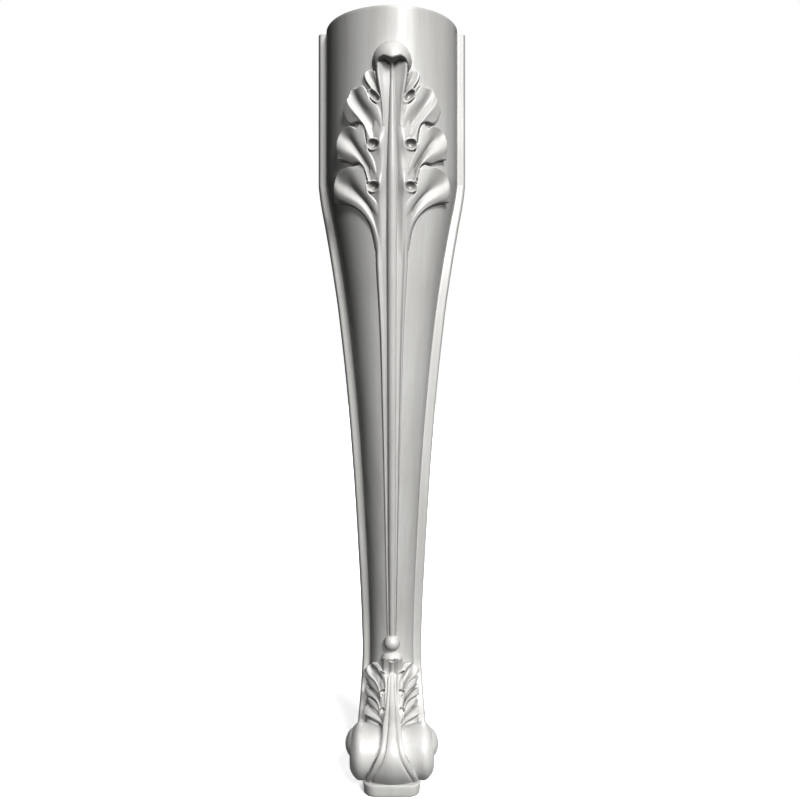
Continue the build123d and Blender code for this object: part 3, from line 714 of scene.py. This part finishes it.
def scroll():
    na = 300
    prof = [(HALF_W, r) for r in np.linspace(0.5, 15.2, 26)]
    d = np.array(ROLL)
    prof += [tuple(v) for v in resample(np.c_[d, np.zeros(len(d))], 96)[:, :2][::-1]]
    prof = np.array(prof)
    ang = np.linspace(0, 2 * math.pi, na, endpoint=False)
    x = prof[:, 0][:, None] + 0 * ang[None, :]
    y = SCY + prof[:, 1][:, None] * np.cos(ang)[None, :]
    z = SCZ + prof[:, 1][:, None] * np.sin(ang)[None, :]
    outer = (prof[:, 0] > 29.0)[:, None]
    # winding channel round the eye and off over the shoulder
    ey, ez = y - SCY, z - EYE_Z
    er = np.hypot(ey, ez)
    ea = np.degrees(np.arctan2(ez, ey)) % 360
    for lap in (0, 360):
        t = (ea + lap - 112.0) / 260.0
        ok = (t >= 0) & (t <= 1) & outer
        ro, ri = 14.4 + 8.0 * t, 12.8 + 5.6 * t
        w = np.clip((er - ri) / (ro - ri), 0, 1)
        ends = np.clip(np.minimum(t / 0.05, (1 - t) / 0.02), 0, 1)
        floor_x = HALF_W - 2.3 * np.sin(math.pi * w) ** 0.55 * np.sqrt(np.clip(ends, 0, 1))
        x = np.where(ok & (w > 0) & (w < 1), np.minimum(x, floor_x), x)
    # domed eye with a fine quirk round it
    dome = EYE_OUT - HALF_W
    dr = (EYE_R ** 2 + dome ** 2) / (2 * dome)
    x = x - np.where(outer, 0.55 * np.exp(-0.5 * ((er - EYE_R - 0.5) / 0.45) ** 2), 0)
    cap = EYE_OUT - dr + np.sqrt(np.maximum(dr ** 2 - er ** 2, 0))
    x = np.where(outer & (er < EYE_R + 1.0), np.maximum(x, cap), x)
    half = np.stack([x, y, z], -1)
    other = half[-2::-1].copy()
    other[..., 0] *= -1
    pts = np.concatenate([half, other])
    nr = len(pts)
    mid = EYE_OUT - dr + math.sqrt(dr ** 2 - (EYE_Z - SCZ) ** 2)
    verts = np.concatenate([pts.reshape(-1, 3), [[mid, SCY, SCZ], [-mid, SCY, SCZ]]])
    faces = grid_faces(nr, na, close=True)
    faces += [(nr * na, j, (j + 1) % na) for j in range(na)]
    faces += [(nr * na + 1, (nr - 1) * na + (j + 1) % na, (nr - 1) * na + j) for j in range(na)]
    ob = make("scroll", verts, faces)
    face_out(ob)
    return ob


PIECES.append(scroll())

# -------------------------------------------------------------------- tongue
SIDE = np.array([(39.4, 110.0), (39.2, 101.0), (38.2, 93.0), (34.6, 86.8), (26.0, 79.8), (12.0, 71.8), (-6.0, 65.2),
                 (-20.0, 58.8), (-28.4, 51.8), (-33.4, 44.5), (-35.3, 37.0), (-34.4, 28.0), (-31.2, 19.5), (-24.8, 10.6)])
SL = np.concatenate([[0.0], np.cumsum(np.hypot(*np.diff(SIDE, axis=0).T))])
SD = natural(SL, SIDE)


def side_point(w, drop):
    p = spline(SL, SIDE, w, SD)
    t = spline(SL, SIDE, np.minimum(w + 0.2, SL[-1]), SD) - spline(SL, SIDE, np.maximum(w - 0.2, 0), SD)
    t /= np.linalg.norm(t, axis=-1, keepdims=True)
    n = np.stack([t[..., 1], -t[..., 0]], -1)
    return p - n * np.asarray(drop)[..., None]


def on_tongue(px, py, drop):
    w = np.linspace(0, SL[-1], 1200)
    p = side_point(w, np.full_like(w, drop))
    y = CY - FOCAL * (p[:, 1] - CAM_Z) / (p[:, 0] - CAM_Y)
    k = int(np.argmin(np.abs(y - py)))
    return (px - CX) * (p[k, 0] - CAM_Y) / FOCAL, w[k]


def tongue():
    edge = [(389.4, 667), (388.4, 676), (387.6, 688), (386.6, 700), (384.8, 712), (383.0, 721), (382.2, 729), (381.9, 736.6),
            (381.0, 743), (379.6, 750), (377.2, 758), (374.1, 765.6), (370.6, 774), (367.4, 780.0), (366.0, 783)]
    line = [(390.8, 667), (390.4, 676), (390.0, 688), (389.4, 700), (388.8, 715), (388.4, 724.3), (387.2, 736.6),
            (385.9, 747.8), (383.4, 759), (380.4, 766.5), (377.6, 772), (373.4, 779.4), (371.4, 782.6)]
    e = np.array([on_tongue(x, y, 1.2) for x, y in edge])
    i = np.array([on_tongue(x, y, 0.8) for x, y in line])
    w = np.linspace(min(e[0, 1], i[0, 1]), SL[-1], 190)
    xe = spline(e[:, 1], e[:, 0], np.clip(w, e[0, 1], e[-1, 1]))
    xi = spline(i[:, 1], i[:, 0], np.clip(w, i[0, 1], i[-1, 1]))
    grow = np.clip((w - w[0]) / 12.0, 0, 1)
    grow = grow * grow * (3 - 2 * grow)
    xe, xi = xe * (0.25 + 0.75 * grow), xi * (0.25 + 0.75 * grow)
    deep = np.clip((xi - xe) / 5.0, 0.2, 1.0)
    out_x, out_d = [], []
    # from the buried foot of the left wall to the middle
    for f, dd in ((1.0, 9.0), (1.0, 5.0), (1.0, 2.0), (0.985, 1.35), (0.95, 1.0), (0.86, 0.78), (0.72, 0.66), (0.55, 0.64), (0.38, 0.72),
                  (0.24, 0.9), (0.14, 1.25), (0.06, 1.7), (0.0, 1.8)):
        out_x.append(xi + (xe - xi) * f)
        out_d.append(dd * (deep if dd < 2 else 1.0) + 0 * w)
    for f, dd in ((0.975, 1.55), (0.94, 0.95), (0.88, 0.62), (0.75, 0.42), (0.55, 0.22), (0.3, 0.06), (0.0, 0.0)):
        out_x.append(xi * f)
        out_d.append(dd * deep)
    x = np.stack(out_x, 1)
    d = np.stack(out_d, 1)
    x = np.concatenate([x, -x[:, -2::-1]], 1)
    d = np.concatenate([d, d[:, -2::-1]], 1)
    d = d + 0.006 * x * x + (1 - grow)[:, None] * 3.0
    yz = side_point(np.repeat(w[:, None], x.shape[1], 1), d)
    pts = np.stack([x, yz[..., 0], yz[..., 1]], -1)
    nr, nc = x.shape
    faces = grid_faces(nr, nc, close=True)
    faces.append(tuple(range(nc))[::-1])
    faces.append(tuple((nr - 1) * nc + j for j in range(nc)))
    ob = make("tongue", pts.reshape(-1, 3), faces)
    face_out(ob)
    creases(ob, 50)
    return ob


PIECES.append(tongue())


# ----------------------------------------------------------------------- pad
def pad():
    rings = []
    n = 14
    for z, half in ((0.0, 24.4), (0.35, 25.0), (1.0, 25.3), (3.5, 25.6), (7.0, 26.0), (10.0, 26.4), (10.7, 26.25), (11.0, 25.7)):
        c = 12.0 - (27.0 - half) * 0.4
        ring = []
        for q in range(4):
            for k in range(n):
                a = math.radians(90 * q + 90 * k / (n - 1))
                cx, cy = (half - c) * (1 if q in (0, 3) else -1), (half - c) * (1 if q in (0, 1) else -1)
                ring.append((cx + c * math.cos(a), cy + c * math.sin(a), z))
        rings.append(ring)
    v = np.array(rings)
    nr, nc = v.shape[:2]
    faces = grid_faces(nr, nc, close=True)
    faces.append(tuple(range(nc))[::-1])
    faces.append(tuple((nr - 1) * nc + j for j in range(nc)))
    ob = make("foot_pad", v.reshape(-1, 3), faces)
    face_out(ob)
    creases(ob, 40)
    return ob


PIECES.append(pad())

# ------------------------------------------------------------------ material
for ob in PIECES:
    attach(ob, "root")
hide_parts("leg")

mat = bpy.data.materials.new("painted_wood")
mat.use_nodes = True
nt = mat.node_tree
bs = nt.nodes["Principled BSDF"]


def node(kind, inputs=(), **settings):
    n = nt.nodes.new(kind)
    for k, v in settings.items():
        setattr(n, k, v)
    for k, v in inputs:
        if hasattr(v, "is_output"):
            nt.links.new(v, n.inputs[k])
        else:
            n.inputs[k].default_value = v
    return n


def maths(op, a, b=0.0, clamp=False):
    n = node("ShaderNodeMath", operation=op, use_clamp=clamp)
    for k, v in ((0, a), (1, b)):
        if hasattr(v, "is_output"):
            nt.links.new(v, n.inputs[k])
        else:
            n.inputs[k].default_value = v
    return n.outputs[0]


def blend(fac, a, b):
    n = node("ShaderNodeMix", data_type="RGBA")
    for sock, v in (("Factor", fac), ("A", a), ("B", b)):
        ends = [i for i in n.inputs if i.name == sock and i.enabled]
        if hasattr(v, "is_output"):
            nt.links.new(v, ends[0])
        else:
            ends[0].default_value = v
    return [o for o in n.outputs if o.enabled][0]


place_at = node("ShaderNodeTexCoord").outputs["Object"]
# closed grain of the wood, long in Z, telegraphing through the paint
grain_at = node("ShaderNodeMapping", (("Vector", place_at), ("Scale", (1.0, 1.0, 0.055)))).outputs[0]
fibre = node("ShaderNodeTexNoise", (("Vector", grain_at), ("Scale", 520.0), ("Detail", 5.0), ("Roughness", 0.62))).outputs["Fac"]
figure = node("ShaderNodeTexNoise", (("Vector", grain_at), ("Scale", 62.0), ("Detail", 3.0), ("Distortion", 0.6))).outputs["Fac"]
cloud = node("ShaderNodeTexNoise", (("Vector", place_at), ("Scale", 9.0), ("Detail", 2.0))).outputs["Fac"]
stipple = node("ShaderNodeTexNoise", (("Vector", place_at), ("Scale", 900.0), ("Detail", 2.0))).outputs["Fac"]
brush = node("ShaderNodeTexNoise", (("Vector", grain_at), ("Scale", 190.0), ("Detail", 2.0))).outputs["Fac"]

tone = maths("ADD", maths("MULTIPLY", figure, 0.55), maths("MULTIPLY", cloud, 0.45))
tone = node("ShaderNodeMapRange", (("Value", tone), ("From Min", 0.32), ("From Max", 0.68))).outputs[0]
body_tone = blend(tone, (0.505, 0.500, 0.488, 1), (0.585, 0.583, 0.575, 1))
streak = node("ShaderNodeMapRange", (("Value", fibre), ("From Min", 0.56), ("From Max", 0.74))).outputs[0]
body_tone = blend(maths("MULTIPLY", streak, 0.30), body_tone, (0.430, 0.424, 0.410, 1))
# painted shade: the cavity attribute darkens the paint towards near-black in hollows, along the set-in line and round
# the foot pits, mottled by fine noise
cavity_shade = node("ShaderNodeAttribute", attribute_name="cavity_shade", attribute_type="GEOMETRY").outputs["Fac"]
shade_mottle = node("ShaderNodeMapRange", (("Value", stipple), ("From Min", 0.3), ("From Max", 0.7), ("To Min", 0.75), ("To Max", 1.0))).outputs[0]
painted_shade = maths("MULTIPLY", maths("MULTIPLY", cavity_shade, shade_mottle), 0.72, clamp=True)
colour = blend(painted_shade, body_tone, (0.120, 0.116, 0.108, 1))
nt.links.new(colour, bs.inputs["Base Color"])

rough = node("ShaderNodeMapRange", (("Value", brush), ("From Min", 0.3), ("From Max", 0.7), ("To Min", 0.36), ("To Max", 0.50))).outputs[0]
# roughness rises a little with the painted shade
rough = maths("ADD", rough, maths("MULTIPLY", painted_shade, 0.25), clamp=True)
nt.links.new(rough, bs.inputs["Roughness"])
bs.inputs["Specular IOR Level"].default_value = 0.45
relief_h = maths("ADD", maths("MULTIPLY", fibre, 0.5), maths("ADD", maths("MULTIPLY", brush, 0.45), maths("MULTIPLY", stipple, 0.2)))
bumped = node("ShaderNodeBump", (("Strength", 0.22), ("Distance", 0.0006), ("Height", relief_h))).outputs[0]
nt.links.new(bumped, bs.inputs["Normal"])
for ob in PIECES:
    ob.data.materials.clear()
    ob.data.materials.append(mat)

# -------------------------------------------------------------------- floor
floor_me = bpy.data.meshes.new("floor")
floor_me.from_pydata([(-30, -8, 0), (30, -8, 0), (30, 60, 0), (-30, 60, 0)], [], [(0, 1, 2, 3)])
floor = bpy.data.objects.new("floor", floor_me)
bpy.context.scene.collection.objects.link(floor)
fm = bpy.data.materials.new("floor")
fm.use_nodes = True
fm.node_tree.nodes["Principled BSDF"].inputs["Base Color"].default_value = (0.93, 0.93, 0.93, 1)
fm.node_tree.nodes["Principled BSDF"].inputs["Roughness"].default_value = 1.0
fm.node_tree.nodes["Principled BSDF"].inputs["Specular IOR Level"].default_value = 0.0
floor_me.materials.append(fm)
floor.visible_diffuse = False

# ------------------------------------------------------------------- lights
world = bpy.data.worlds.new("world")
bpy.context.scene.world = world
world.use_nodes = True
wn = world.node_tree
bg = wn.nodes["Background"]
path = wn.nodes.new("ShaderNodeLightPath")
level = wn.nodes.new("ShaderNodeMapRange")
level.inputs["To Min"].default_value = AMBIENT = 0.11
level.inputs["To Max"].default_value = 1.0
wn.links.new(path.outputs["Is Camera Ray"], level.inputs["Value"])
wn.links.new(level.outputs["Result"], bg.inputs["Strength"])
bg.inputs["Color"].default_value = (1, 1, 1, 1)


def sun(name, azimuth, elevation, spread, strength, glossy=True):
    """Soft light from a direction: azimuth 0 is the camera's side, + to its right."""
    li = bpy.data.lights.new(name, "SUN")
    li.angle = math.radians(spread)
    li.energy = strength
    ob = bpy.data.objects.new(name, li)
    a, e = math.radians(azimuth), math.radians(elevation)
    at = Vector((math.sin(a) * math.cos(e), -math.cos(a) * math.cos(e), math.sin(e)))
    ob.rotation_euler = (-at).to_track_quat("-Z", "Y").to_euler()
    ob.location = at * 3
    ob.visible_glossy = glossy
    bpy.context.scene.collection.objects.link(ob)
    return li


sun("key", 19, 33, 18, 2.7)
sun("key_fill", 19, 33, 18, 2.1).use_shadow = False
sun("top", 8, 72, 30, 0.55).use_shadow = False
sun("side", 80, 12, 20, 0.16)
sun("back", 178, 32, 25, 1.6)
sun("back_fill", 178, 4, 30, 2.2, glossy=False).use_shadow = False
bpy.context.scene.view_settings.view_transform = "Standard"
bpy.context.scene.view_settings.gamma = 0.54

# ------------------------------------------------------------------- camera
cam = bpy.data.cameras.new("camera")
cam.sensor_width = 36.0
cam.lens = 36.0 * FOCAL / 800.0
cam.shift_x = (400.0 - CX) / 800.0
cam.shift_y = 0.0
cam.clip_start = 0.01
cam_ob = bpy.data.objects.new("camera", cam)
cam_ob.location = (0, CAM_Y / 1000.0, CAM_Z / 1000.0)
cam_ob.rotation_euler = (math.radians(90), 0, 0)
bpy.context.scene.collection.objects.link(cam_ob)
bpy.context.scene.camera = cam_ob
